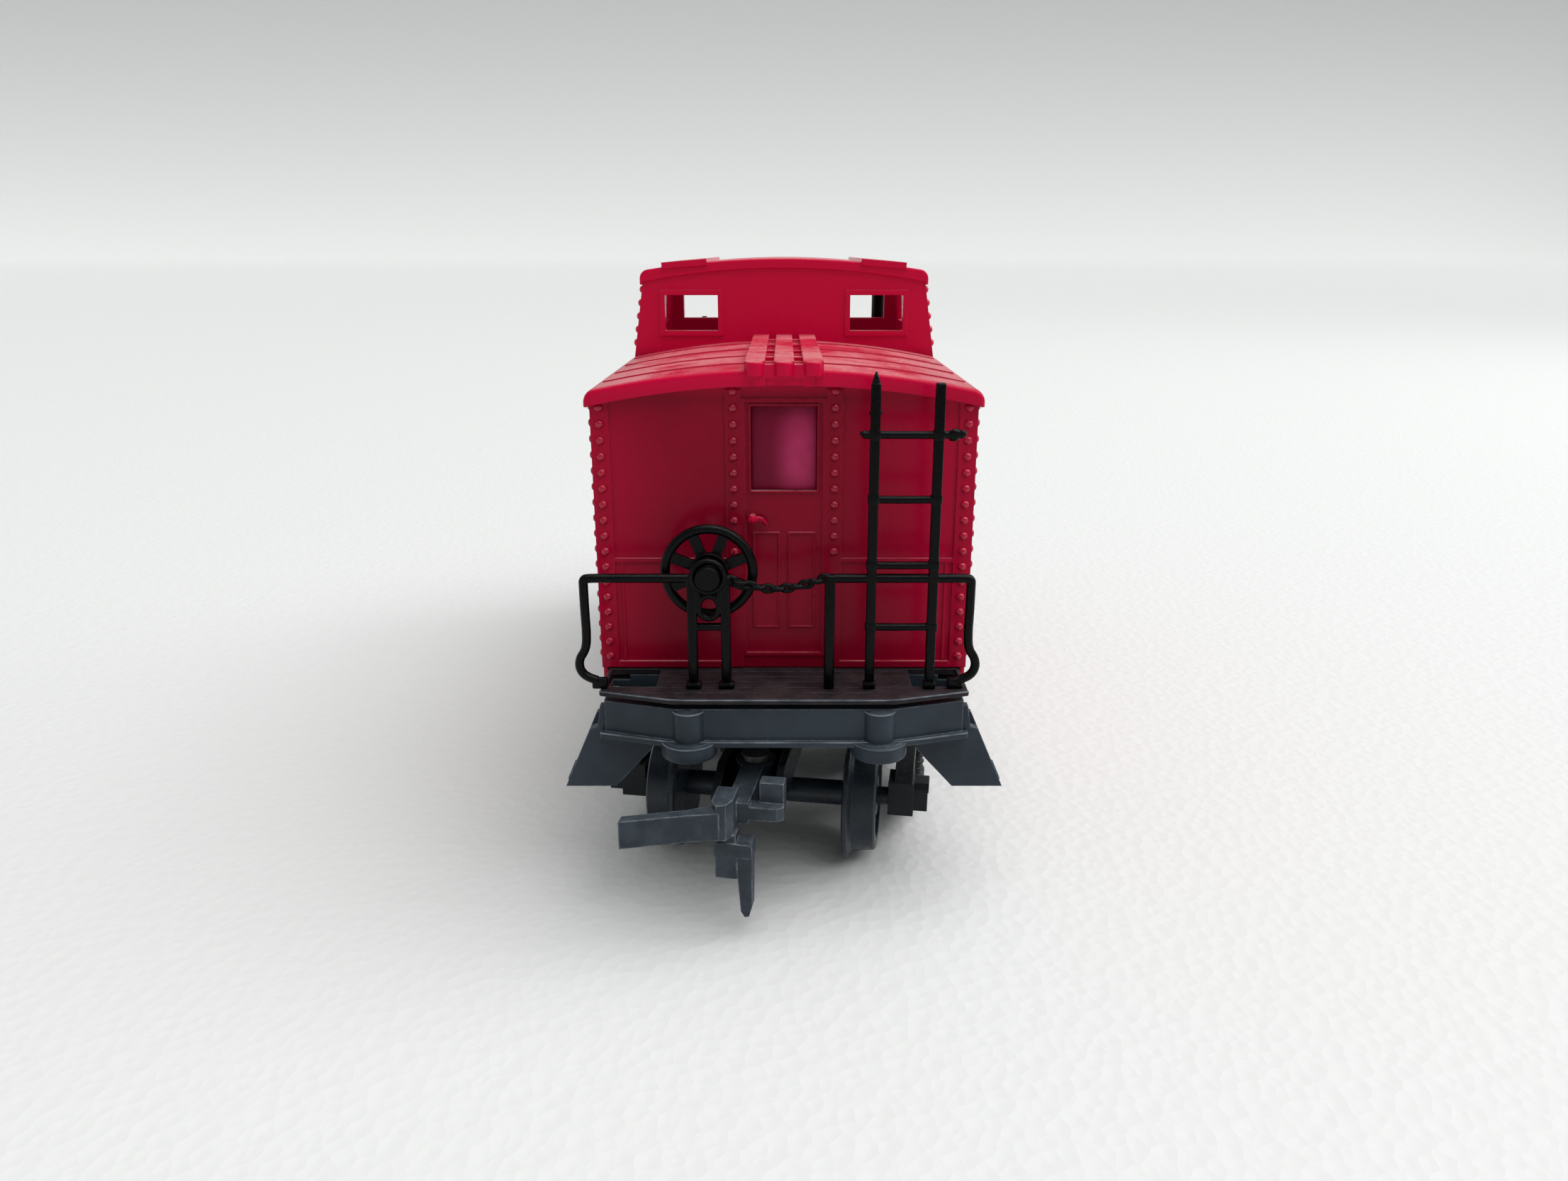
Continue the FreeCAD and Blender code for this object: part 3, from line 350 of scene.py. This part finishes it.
looks = {
    "red_styrene": {
        "base": (0.23, 0.0015, 0.017), "deep": (0.19, 0.001, 0.014),
        "rough": 0.22, "roughSpread": 0.06, "sheen": 0.09,
        **throughLight,
        "edge": 0.16, "wear": 0.35, "wearGain": 5.0, "wornColour": (0.50, 0.03, 0.07),
        "dust": 0.85, "dustPatch": 120.0, "dustSlope": 0.62,
        "dustColour": (0.50, 0.22, 0.23), "dustCeiling": 47.0,
        "grain": 2600.0, "wave": 90.0, "bump": 0.10},
    "rivet_red": {
        "base": (0.26, 0.0015, 0.018), "deep": (0.21, 0.001, 0.015),
        "rough": 0.12, "roughSpread": 0.03, "sheen": 0.4,
        **throughLight,
        "edge": 0.05, "wear": 0.1, "wearGain": 3.0, "wornColour": (0.60, 0.10, 0.14),
        "dust": 0.1, "dustPatch": 150.0, "dustSlope": 0.62, "dustColour": (0.52, 0.20, 0.21),
        "grain": 2600.0, "wave": 90.0, "bump": 0.05},
    "black_plastic": {
        "base": (0.0010, 0.0009, 0.0012), "deep": (0.0007, 0.0007, 0.0009),
        "rough": 0.30, "roughSpread": 0.1, "sheen": 0.11,
        "edge": 0.10, "wear": 0.5, "wearGain": 4.0, "wornColour": (0.014, 0.014, 0.017),
        "dust": 0.06, "dustPatch": 300.0, "dustSlope": 0.4, "dustColour": (0.08, 0.07, 0.07),
        "grain": 2800.0, "wave": 500.0, "bump": 0.6},
    "grey_plastic": {
        "base": (0.023, 0.033, 0.045), "deep": (0.016, 0.023, 0.032),
        "rough": 0.40, "roughSpread": 0.08, "sheen": 0.2,
        # the light worn edges are partly real wear and partly painted edge highlight
        "edge": 0.16, "wear": 0.95, "wearGain": 6.0, "wornColour": (0.15, 0.18, 0.21),
        "dust": 0.25, "dustPatch": 260.0, "dustSlope": 0.5, "dustColour": (0.12, 0.135, 0.15),
        "grain": 2400.0, "wave": 220.0, "bump": 0.4},
    # light grey of the painted highlight lines on the sill and deck edges
    "highlight_grey": {
        "base": (0.13, 0.155, 0.18), "deep": (0.05, 0.062, 0.075),
        "rough": 0.5, "roughSpread": 0.1, "sheen": 0.3,
        "edge": 0.05, "wear": 0.3, "wearGain": 3.0, "wornColour": (0.24, 0.27, 0.30),
        "dust": 0.1, "dustPatch": 500.0, "dustSlope": 0.5, "dustColour": (0.20, 0.22, 0.24),
        "grain": 2400.0, "wave": 500.0, "bump": 0.6},
    "truck_plastic": {
        "base": (0.007, 0.009, 0.012), "deep": (0.004, 0.006, 0.008),
        "rough": 0.40, "roughSpread": 0.1, "sheen": 0.2,
        "edge": 0.12, "wear": 0.7, "wearGain": 5.0, "wornColour": (0.055, 0.062, 0.070),
        "dust": 0.25, "dustPatch": 300.0, "dustSlope": 0.5, "dustColour": (0.06, 0.062, 0.065),
        "grain": 2600.0, "wave": 400.0, "bump": 0.45},
    "wheel_plastic": {
        "base": (0.018, 0.025, 0.033), "deep": (0.011, 0.016, 0.022),
        "rough": 0.32, "roughSpread": 0.08, "sheen": 0.25,
        "edge": 0.12, "wear": 0.7, "wearGain": 4.0, "wornColour": (0.07, 0.085, 0.10),
        "dust": 0.1, "dustPatch": 300.0, "dustSlope": 0.6, "dustColour": (0.08, 0.085, 0.09),
        "grain": 3000.0, "wave": 350.0, "bump": 0.3},
    "coupler_plastic": {
        "base": (0.030, 0.040, 0.053), "deep": (0.018, 0.025, 0.034),
        "rough": 0.44, "roughSpread": 0.1, "sheen": 0.22,
        "edge": 0.18, "wear": 0.95, "wearGain": 6.0, "wornColour": (0.22, 0.25, 0.28),
        "dust": 0.25, "dustPatch": 500.0, "dustSlope": 0.4, "dustColour": (0.13, 0.15, 0.165),
        "grain": 2200.0, "wave": 600.0, "bump": 0.7},
    "deck_plastic": {
        "base": (0.020, 0.013, 0.017), "deep": (0.009, 0.007, 0.009),
        "rough": 0.5, "roughSpread": 0.1, "sheen": 0.2,
        "edge": 0.12, "wear": 0.8, "wearGain": 5.0, "wornColour": (0.085, 0.09, 0.10),
        "dust": 0.4, "dustPatch": 300.0, "dustSlope": 0.6, "dustColour": (0.055, 0.038, 0.040),
        "grain": 2200.0, "wave": 500.0, "bump": 0.7},
}


steel = {
    "streaks": (4000.0, 60.0, 4000.0), "gloss": (0.3, 0.7), "smoother": 0.08, "rougher": 0.12,
    "stainScale": 90.0, "stains": (0.42, 0.68), "bump": 0.25, "relief": 0.02,
}


def brushedSteel(name, look):
    material = bpy.data.materials.new(name)
    material.use_nodes = True
    tree = material.node_tree
    skin = tree.nodes["Principled BSDF"]
    stretch = addNode(tree, "ShaderNodeMapping")
    stretch.inputs["Scale"].default_value = steel["streaks"]
    tree.links.new(objectPlace(tree), stretch.inputs["Vector"])
    streaks = noiseNode(tree, 1.0, 3.0, 0.6, vector=stretch.outputs["Vector"])
    stains = rangeNode(tree, noiseNode(tree, steel["stainScale"], 5.0, 0.6), *steel["stains"])
    tree.links.new(mixColour(tree, stains, look["base"], look["stain"]), skin.inputs["Base Color"])
    smoothest = look["rough"] - steel["smoother"]
    roughest = look["rough"] + steel["rougher"]
    gloss = rangeNode(tree, streaks, *steel["gloss"], smoothest, roughest)
    tree.links.new(gloss, skin.inputs["Roughness"])
    bump = addNode(tree, "ShaderNodeBump")
    bump.inputs["Strength"].default_value = steel["bump"]
    bump.inputs["Distance"].default_value = steel["relief"] * mm
    tree.links.new(streaks, bump.inputs["Height"])
    tree.links.new(bump.outputs["Normal"], skin.inputs["Normal"])
    skin.inputs["Metallic"].default_value = 1.0
    return material


# the door pane is thin red plastic, with a painted pool of light near its middle where light gets through

def doorPane(name):
    look = {
        "dim": (0.15, 0.003, 0.022), "lit": (0.42, 0.03, 0.11), "spotX": 1.3, "spotZ": 36.2,
        "spread": 2.6, "core": 0.2, "squash": 0.45, "cloudScale": 420.0, "cloud": (0.3, 0.7, 0.7, 1.0),
        "bump": 0.3, "relief": 0.05, "rough": 0.3, "sheen": 0.1}
    material = bpy.data.materials.new(name)
    material.use_nodes = True
    tree = material.node_tree
    skin = tree.nodes["Principled BSDF"]
    shift = addNode(tree, "ShaderNodeMapping")
    low = look["spotZ"] * look["squash"]
    shift.inputs["Location"].default_value = (-look["spotX"] * mm, 0, -low * mm)
    shift.inputs["Scale"].default_value = (1.0, 0.0, look["squash"])
    tree.links.new(objectPlace(tree), shift.inputs["Vector"])
    reach = addNode(tree, "ShaderNodeVectorMath", operation="LENGTH")
    tree.links.new(shift.outputs["Vector"], reach.inputs[0])
    # painted light: the bright spot on the pane
    glow = rangeNode(tree, reach.outputs["Value"], look["spread"] * mm, look["core"] * mm)
    cloud = rangeNode(tree, noiseNode(tree, look["cloudScale"], 4.0, 0.6), *look["cloud"])
    tone = mixColour(tree, mathNode(tree, "MULTIPLY", glow, cloud), look["dim"], look["lit"])
    tree.links.new(tone, skin.inputs["Base Color"])
    bump = addNode(tree, "ShaderNodeBump")
    bump.inputs["Strength"].default_value = look["bump"]
    bump.inputs["Distance"].default_value = look["relief"] * mm
    tree.links.new(cloud, bump.inputs["Height"])
    tree.links.new(bump.outputs["Normal"], skin.inputs["Normal"])
    skin.inputs["Roughness"].default_value = look["rough"]
    skin.inputs["Specular IOR Level"].default_value = look["sheen"]
    return material


buildCamera()
buildLights()
buildFloor()
print("camera, lights and floor are in")

steels = {
    "weight_steel": {"base": (0.42, 0.41, 0.39), "stain": (0.22, 0.15, 0.10), "rough": 0.42},
    "pin_steel": {"base": (0.30, 0.30, 0.30), "stain": (0.16, 0.14, 0.12), "rough": 0.38},
}
materials = {name: mouldedPlastic(name, look) for name, look in looks.items()}
materials.update({name: brushedSteel(name, look) for name, look in steels.items()})
materials["door_pane"] = doorPane("door_pane")
slots = {entry["node"]: entry["material_slot"] for entry in frame["record"]["subparts"]}

for name, node in nodes.items():
    node.data.materials.clear()
    node.data.materials.append(materials[slots[name]])
print("materials are on the CAD nodes")


# small helpers for new pieces, in millimetres

def addBar(bm, low, high, rounding=0.12):
    size = [(b - a) * mm for a, b in zip(low, high)]
    middle = [(a + b) / 2 * mm for a, b in zip(low, high)]
    spot = Matrix.Translation(middle) @ Matrix.Diagonal((*size, 1))
    made = bmesh.ops.create_cube(bm, size=1.0, matrix=spot)
    edges = list({edge for vert in made["verts"] for edge in vert.link_edges})
    roundEdges(bm, edges, rounding * mm, 2)


def addTube(bm, points, radius, closed=False, order=3):
    data = bpy.data.curves.new("tube", "CURVE")
    data.dimensions = "3D"
    data.bevel_depth = radius * mm
    data.bevel_resolution = 3
    data.use_fill_caps = not closed
    spline = data.splines.new("NURBS")
    spline.points.add(len(points) - 1)
    for point, place in zip(spline.points, points):
        point.co = (place[0] * mm, place[1] * mm, place[2] * mm, 1)
    spline.use_cyclic_u = closed
    spline.use_endpoint_u = not closed
    spline.order_u = order
    spline.resolution_u = 8
    holder = bpy.data.objects.new("tube", data)
    mesh = bpy.data.meshes.new_from_object(holder)
    bm.from_mesh(mesh)
    bpy.data.objects.remove(holder)
    bpy.data.meshes.remove(mesh)


def addRing(bm, centre, radius, thickness, squash=1.0):
    count = 16
    turns = [2 * math.pi * i / count for i in range(count)]
    x, y, z = centre
    points = [(x + radius * math.cos(a), y, z + squash * radius * math.sin(a)) for a in turns]
    addTube(bm, points, thickness, closed=True)


def finishPiece(name, bm, slotName, body, paint=None):
    bmesh.ops.recalc_face_normals(bm, faces=bm.faces)
    mesh = bpy.data.meshes.new(name)
    bm.to_mesh(mesh)
    bm.free()
    mesh.shade_smooth()
    mesh.materials.append(materials[paint or slotName])
    piece = bpy.data.objects.new(name, mesh)
    bpy.context.scene.collection.objects.link(piece)
    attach(piece, body)
    return piece


# railing, ladder, brake stand and chain of each end platform

railing = {
    "y": -41.5, "bar": 0.36, "railZ": 27.7, "deckZ": 18.6, "postLeft": -15.5, "postRight": 14.45,
    "foot": (0.6, 0.28), "footIn": 0.9, "footTop": 19.5,
    "inner": 3.55, "innerPost": (0.4, 0.38), "innerRise": 0.28, "innerRounding": 0.16,
    "curl": (
        (-2.5, 0.0), (-0.4, 0.0), (0.0, 0.1), (0.0, 0.6), (0.0, 2.5), (-0.05, 4.5), (0.05, 5.8),
        (0.62, 6.6), (0.66, 7.5), (0.1, 8.2), (-0.75, 8.45)),
}
ladder = {
    "posts": (6.75, 11.5), "top": 42.6, "post": (0.36, 0.36), "foot": (0.48, 0.4), "footTop": 19.2,
    "rungs": (23.75, 28.75, 33.9, 38.8), "rungRadius": 0.3, "rungSag": 0.05, "overhang": 0.9,
    "knot": (0.44, 0.4), "knotRise": 0.42, "knotRounding": 0.2,
    "tipRise": 0.35, "tipBase": 0.34, "tipPoint": 0.08, "tipHeight": 0.9,
    "lumps": (
        (12.65, 38.8, (0.5, 0.34, 0.48)), (13.25, 38.92, (0.3, 0.3, 0.3)),
        (6.0, 38.8, (0.32, 0.3, 0.34)), (6.75, 40.4, (0.45, 0.34, 0.4))),
    "lumpNoise": 2.5, "lumpDepth": 0.16,
}
brakeStand = {
    "x": -5.85, "z": 27.9, "spacing": 1.3, "post": (0.38, 0.38), "postRounding": 0.16,
    "foot": (0.62, 0.42), "footTop": 19.15, "footRounding": 0.14,
    "ring": 1.25, "ringBar": 0.25, "ringOut": 0.35,
    "lowRing": 0.82, "lowRingBar": 0.26, "lowRingSquash": 1.15, "lowRingDrop": 2.5,
    "neck": ((1.2, 0.6), (0.75, 1.4), (0.85, 2.3)), "neckRadius": 0.3, "neckOut": 0.1,
    "cross": (1.3, 0.36), "crossLow": 4.4, "crossHigh": 3.9, "crossRounding": 0.14,
}
chain = {"links": 11, "sag": 0.85, "lean": 1.05, "radius": 0.46, "bar": 0.19, "squash": 0.5}


def addUpright(bm, x, half, low, high, rounding=0.12):
    y = railing["y"]
    addBar(bm, (x - half[0], y - half[1], low), (x + half[0], y + half[1], high), rounding)


def addHandrail(bm, side, start, postX):
    y = railing["y"]
    z = railing["railZ"]
    curl = [(postX + side * outward, y, z - down) for outward, down in railing["curl"]]
    addTube(bm, [(start, y, z)] + curl, railing["bar"])
    foot = postX - side * railing["footIn"]
    addUpright(bm, foot, railing["foot"], railing["deckZ"], railing["footTop"])


# rough remains of the sprue on the ladder
def addLump(bm, place, size):
    spot = Matrix.Translation(Vector(place) * mm) @ Matrix.Diagonal((*[part * mm for part in size], 1))
    made = bmesh.ops.create_icosphere(bm, subdivisions=2, radius=1.0, matrix=spot)
    for vert in made["verts"]:
        shove = noise.noise_vector(vert.co / mm * ladder["lumpNoise"])
        vert.co += shove * ladder["lumpDepth"] * mm


def addLadder(bm):
    y = railing["y"]
    left, right = ladder["posts"]
    for x in ladder["posts"]:
        addUpright(bm, x, ladder["post"], railing["deckZ"], ladder["top"])
        addUpright(bm, x, ladder["foot"], railing["deckZ"], ladder["footTop"])
    for z in ladder["rungs"]:
        over = ladder["overhang"] if z == ladder["rungs"][-1] else 0.0
        first = left - over
        last = right + 2 * over
        middle = ((first + last) / 2, y, z - ladder["rungSag"])
        addTube(bm, [(first, y, z), middle, (last, y, z)], ladder["rungRadius"])
        for x in ladder["posts"]:
            rise = ladder["knotRise"]
            addUpright(bm, x, ladder["knot"], z - rise, z + rise, ladder["knotRounding"])
    for x, z, size in ladder["lumps"]:
        addLump(bm, (x, y, z), size)
    point = Matrix.Translation(Vector((left, y, ladder["top"] + ladder["tipRise"])) * mm)
    bmesh.ops.create_cone(
        bm, cap_ends=True, segments=12, radius1=ladder["tipBase"] * mm, radius2=ladder["tipPoint"] * mm,
        depth=ladder["tipHeight"] * mm, matrix=point)


def addBrakeStand(bm):
    look = brakeStand
    x = look["x"]
    y = railing["y"]
    z = look["z"]
    for side in (-1, 1):
        post = x + side * look["spacing"]
        addUpright(bm, post, look["post"], railing["deckZ"], z, look["postRounding"])
        addUpright(bm, post, look["foot"], railing["deckZ"], look["footTop"], look["footRounding"])
    addRing(bm, (x, y - look["ringOut"], z), look["ring"], look["ringBar"])
    lowCentre = (x, y - look["neckOut"], z - look["lowRingDrop"])
    addRing(bm, lowCentre, look["lowRing"], look["lowRingBar"], look["lowRingSquash"])
    for side in (-1, 1):
        neck = [(x + side * outward, y - look["neckOut"], z - down) for outward, down in look["neck"]]
        addTube(bm, neck, look["neckRadius"])
    addUpright(bm, x, look["cross"], z - look["crossLow"], z - look["crossHigh"], look["crossRounding"])


def addChain(bm):
    y = railing["y"]
    z = railing["railZ"]
    start = brakeStand["x"] + brakeStand["spacing"]
    length = railing["inner"] - start
    for index in range(chain["links"]):
        part = (index + 0.5) / chain["links"]
        sag = chain["sag"] * math.sin(math.pi * min(1.0, part * chain["lean"]))
        centre = Vector((start + length * part, y, z - sag)) * mm
        lean = Matrix.Rotation(math.radians(90 * (index % 2)), 4, "X")
        link = bmesh.new()
        addRing(link, (0, 0, 0), chain["radius"], chain["bar"], chain["squash"])
        link.transform(Matrix.Translation(centre) @ lean)
        mesh = bpy.data.meshes.new("link")
        link.to_mesh(mesh)
        link.free()
        bm.from_mesh(mesh)
        bpy.data.meshes.remove(mesh)


def buildRailing(end):
    bm = bmesh.new()
    addHandrail(bm, -1, brakeStand["x"] - brakeStand["spacing"], railing["postLeft"])
    addHandrail(bm, 1, railing["inner"], railing["postRight"])
    innerTop = railing["railZ"] + railing["innerRise"]
    addUpright(
        bm, railing["inner"], railing["innerPost"], railing["deckZ"], innerTop, railing["innerRounding"])
    addLadder(bm)
    addBrakeStand(bm)
    addChain(bm)
    bm.transform(Matrix.Rotation(ends[end], 4, "Z"))
    piece = finishPiece(end + "_railing_moulding", bm, "black_plastic", "car")
    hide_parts(end + "_end_railing")


for end in ends:
    buildRailing(end)
print("railings are built")


# sill posts with their feet, and painted highlights: light lines along the edges of sill and deck and along
# the front top rims of posts and feet

sill = {
    "width": 14.66, "cornerY": -42.16, "kneeX": 8.5, "kneeY": -43.96, "lipZ": 14.98, "deckZ": 18.52,
    "postX": 7.5, "postY": -43.2, "postRadius": 1.25, "postLow": 14.4, "postHigh": 17.55,
    "postRounding": 0.14, "footRadius": 2.2, "footY": -42.95, "footLow": 13.6, "footHigh": 14.95,
    "footRounding": 0.2,
}
# painted highlight lines: sizes of the light tubes along the sill lip, the deck edge and the post and foot
# rims
highlights = {
    "lip": 0.075, "rim": 0.0525, "deck": 0.06, "deckIn": 0.06, "footDrop": 0.12, "postDrop": 0.1,
    "rimStart": 190, "rimStep": 10, "rimPoints": 17,
}


def addDisc(bm, place, radius, height, rounding):
    spot = Matrix.Translation(Vector(place) * mm)
    made = bmesh.ops.create_cone(
        bm, cap_ends=True, segments=40, radius1=radius * mm, radius2=radius * mm, depth=height * mm,
        matrix=spot)
    edges = {edge for vert in made["verts"] for edge in vert.link_edges}
    rims = [edge for edge in edges if len(edge.link_faces) == 2 and abs(edge.calc_face_angle()) > 1.0]
    roundEdges(bm, rims, rounding * mm, 3)


def buildSillPosts(end):
    bm = bmesh.new()
    postMiddle = (sill["postLow"] + sill["postHigh"]) / 2
    postHeight = sill["postHigh"] - sill["postLow"]
    footMiddle = (sill["footLow"] + sill["footHigh"]) / 2
    footHeight = sill["footHigh"] - sill["footLow"]
    for side in (-1, 1):
        x = side * sill["postX"]
        addDisc(bm, (x, sill["postY"], postMiddle), sill["postRadius"], postHeight, sill["postRounding"])
        addDisc(bm, (x, sill["footY"], footMiddle), sill["footRadius"], footHeight, sill["footRounding"])
    bm.transform(Matrix.Rotation(ends[end], 4, "Z"))
    finishPiece(end + "_sill_posts", bm, "grey_plastic", "car")


def sillLine(z, grow):
    corner = (sill["width"] + grow, sill["cornerY"] - grow, z)
    knee = (sill["kneeX"], sill["kneeY"] - grow, z)
    return [(-corner[0], corner[1], z), (-knee[0], knee[1], z), knee, corner]


def buildHighlights(end):
    bm = bmesh.new()
    # painted highlight: light tubes along the sill lip and the front top rims of posts and feet
    addTube(bm, sillLine(sill["lipZ"], 0.0), highlights["lip"], order=2)
    turns = [math.radians(highlights["rimStart"] + highlights["rimStep"] * i) for i in range(highlights["rimPoints"])]
    rims = (
        (sill["footRadius"], sill["footY"], sill["footHigh"] - highlights["footDrop"]),
        (sill["postRadius"], sill["postY"], sill["postHigh"] - highlights["postDrop"]))
    for side in (-1, 1):
        x = side * sill["postX"]
        for radius, y, z in rims:
            rim = [(x + radius * math.cos(a), y + radius * math.sin(a), z) for a in turns]
            addTube(bm, rim, highlights["rim"])
    bm.transform(Matrix.Rotation(ends[end], 4, "Z"))
    finishPiece(end + "_sill_highlight", bm, "grey_plastic", "car", "highlight_grey")
    # painted highlight: a light tube along the deck edge
    bm = bmesh.new()
    addTube(bm, sillLine(sill["deckZ"], -highlights["deckIn"]), highlights["deck"], order=2)
    bm.transform(Matrix.Rotation(ends[end], 4, "Z"))
    finishPiece(end + "_deck_highlight", bm, "deck_plastic", "car", "highlight_grey")


for end in ends:
    buildSillPosts(end)
    buildHighlights(end)
print("sill posts and flash are on")


# door pane, knob and lever of each end door

door = {
    "wall": -37.0, "halfWidth": 2.55, "low": 33.65, "high": 40.25, "pane": (0.38, 0.49),
    "paneRounding": 0.04, "knobX": -2.5, "knobZ": 31.4, "knobRadius": 0.42, "knobOut": 0.42,
    "lever": ((0.0, 0.4, 0.0), (0.5, 0.5, 0.12), (0.95, 0.42, -0.1), (1.1, 0.3, -0.5)),
    "leverRadius": 0.17,
}


def buildDoor(end):
    wall = door["wall"]
    x = door["knobX"]
    z = door["knobZ"]
    low = (-door["halfWidth"], wall + door["pane"][0], door["low"])
    high = (door["halfWidth"], wall + door["pane"][1], door["high"])
    bm = bmesh.new()
    addBar(bm, low, high, door["paneRounding"])
    bm.transform(Matrix.Rotation(ends[end], 4, "Z"))
    finishPiece(end + "_door_pane", bm, "red_styrene", "car", "door_pane")
    bm = bmesh.new()
    spot = Matrix.Translation(Vector((x, wall - door["knobOut"], z)) * mm)
    bmesh.ops.create_uvsphere(
        bm, u_segments=16, v_segments=10, radius=door["knobRadius"] * mm, matrix=spot)
    lever = [(x + across, wall - out, z + up) for across, out, up in door["lever"]]
    addTube(bm, lever, door["leverRadius"])
    bm.transform(Matrix.Rotation(ends[end], 4, "Z"))
    finishPiece(end + "_door_handle", bm, "red_styrene", "car")


for end in ends:
    buildDoor(end)
print("door panes and handles are in")


# rivets of the body shell

rivets = {
    "radius": 0.37, "rise": 0.8, "pitch": 1.28, "cornerTop": 40.2, "cornerCount": 17,
    "doorTop": 41.45, "doorCount": 11, "cornerX": 14.38, "doorX": 3.98, "wallX": 15.1,
    "wallY": 37.18, "sideEdge": 36.3, "sideRows": (-22.0, -12.0, 12.0, 22.0),
    "cupolaCount": 5, "cupolaLow": 43.0, "cupolaX": 14.97, "cupolaFoot": 41.0, "cupolaY": 10.3,
    "cupolaInset": 1.2, "cupolaHeight": 8.4, "cupolaTilt": 0.15,
}


def rivetPlaces():
    places = []
    corner = [rivets["cornerTop"] - rivets["pitch"] * i for i in range(rivets["cornerCount"])]
    doorway = [rivets["doorTop"] - rivets["pitch"] * i for i in range(rivets["doorCount"])]
    for end in (-1, 1):
        for side in (-1, 1):
            for z in corner:
                places.append(((side * rivets["cornerX"], end * rivets["wallY"], z), (0, end, 0)))
                places.append(((side * rivets["wallX"], end * rivets["sideEdge"], z), (side, 0, 0)))
            for z in doorway:
                places.append(((side * rivets["doorX"], end * rivets["wallY"], z), (0, end, 0)))
    for side in (-1, 1):
        for y in rivets["sideRows"]:
            for z in corner:
                places.append(((side * rivets["wallX"], y, z), (side, 0, 0)))
        for end in (-1, 1):
            for step in range(rivets["cupolaCount"]):
                z = rivets["cupolaLow"] + rivets["pitch"] * step
                inset = (z - rivets["cupolaFoot"]) * rivets["cupolaInset"] / rivets["cupolaHeight"]
                x = rivets["cupolaX"] - inset
                places.append(((side * x, end * rivets["cupolaY"], z), (side, 0, rivets["cupolaTilt"])))
    return places


def rivetHead():
    bm = bmesh.new()
    squash = Matrix.Diagonal((1, 1, rivets["rise"], 1))
    bmesh.ops.create_uvsphere(bm, u_segments=10, v_segments=6, radius=rivets["radius"] * mm, matrix=squash)
    mesh = bpy.data.meshes.new("rivetHead")
    bm.to_mesh(mesh)
    bm.free()
    return mesh


def buildRivets():
    head = rivetHead()
    bm = bmesh.new()
    for place, outward in rivetPlaces():
        turn = Vector(outward).to_track_quat("Z", "Y").to_matrix().to_4x4()
        copy = head.copy()
        copy.transform(Matrix.Translation(Vector(place) * mm) @ turn)
        bm.from_mesh(copy)
        bpy.data.meshes.remove(copy)
    bpy.data.meshes.remove(head)
    finishPiece("shell_rivets", bm, "red_styrene", "car", "rivet_red")


buildRivets()
print("rivets are on the shell")
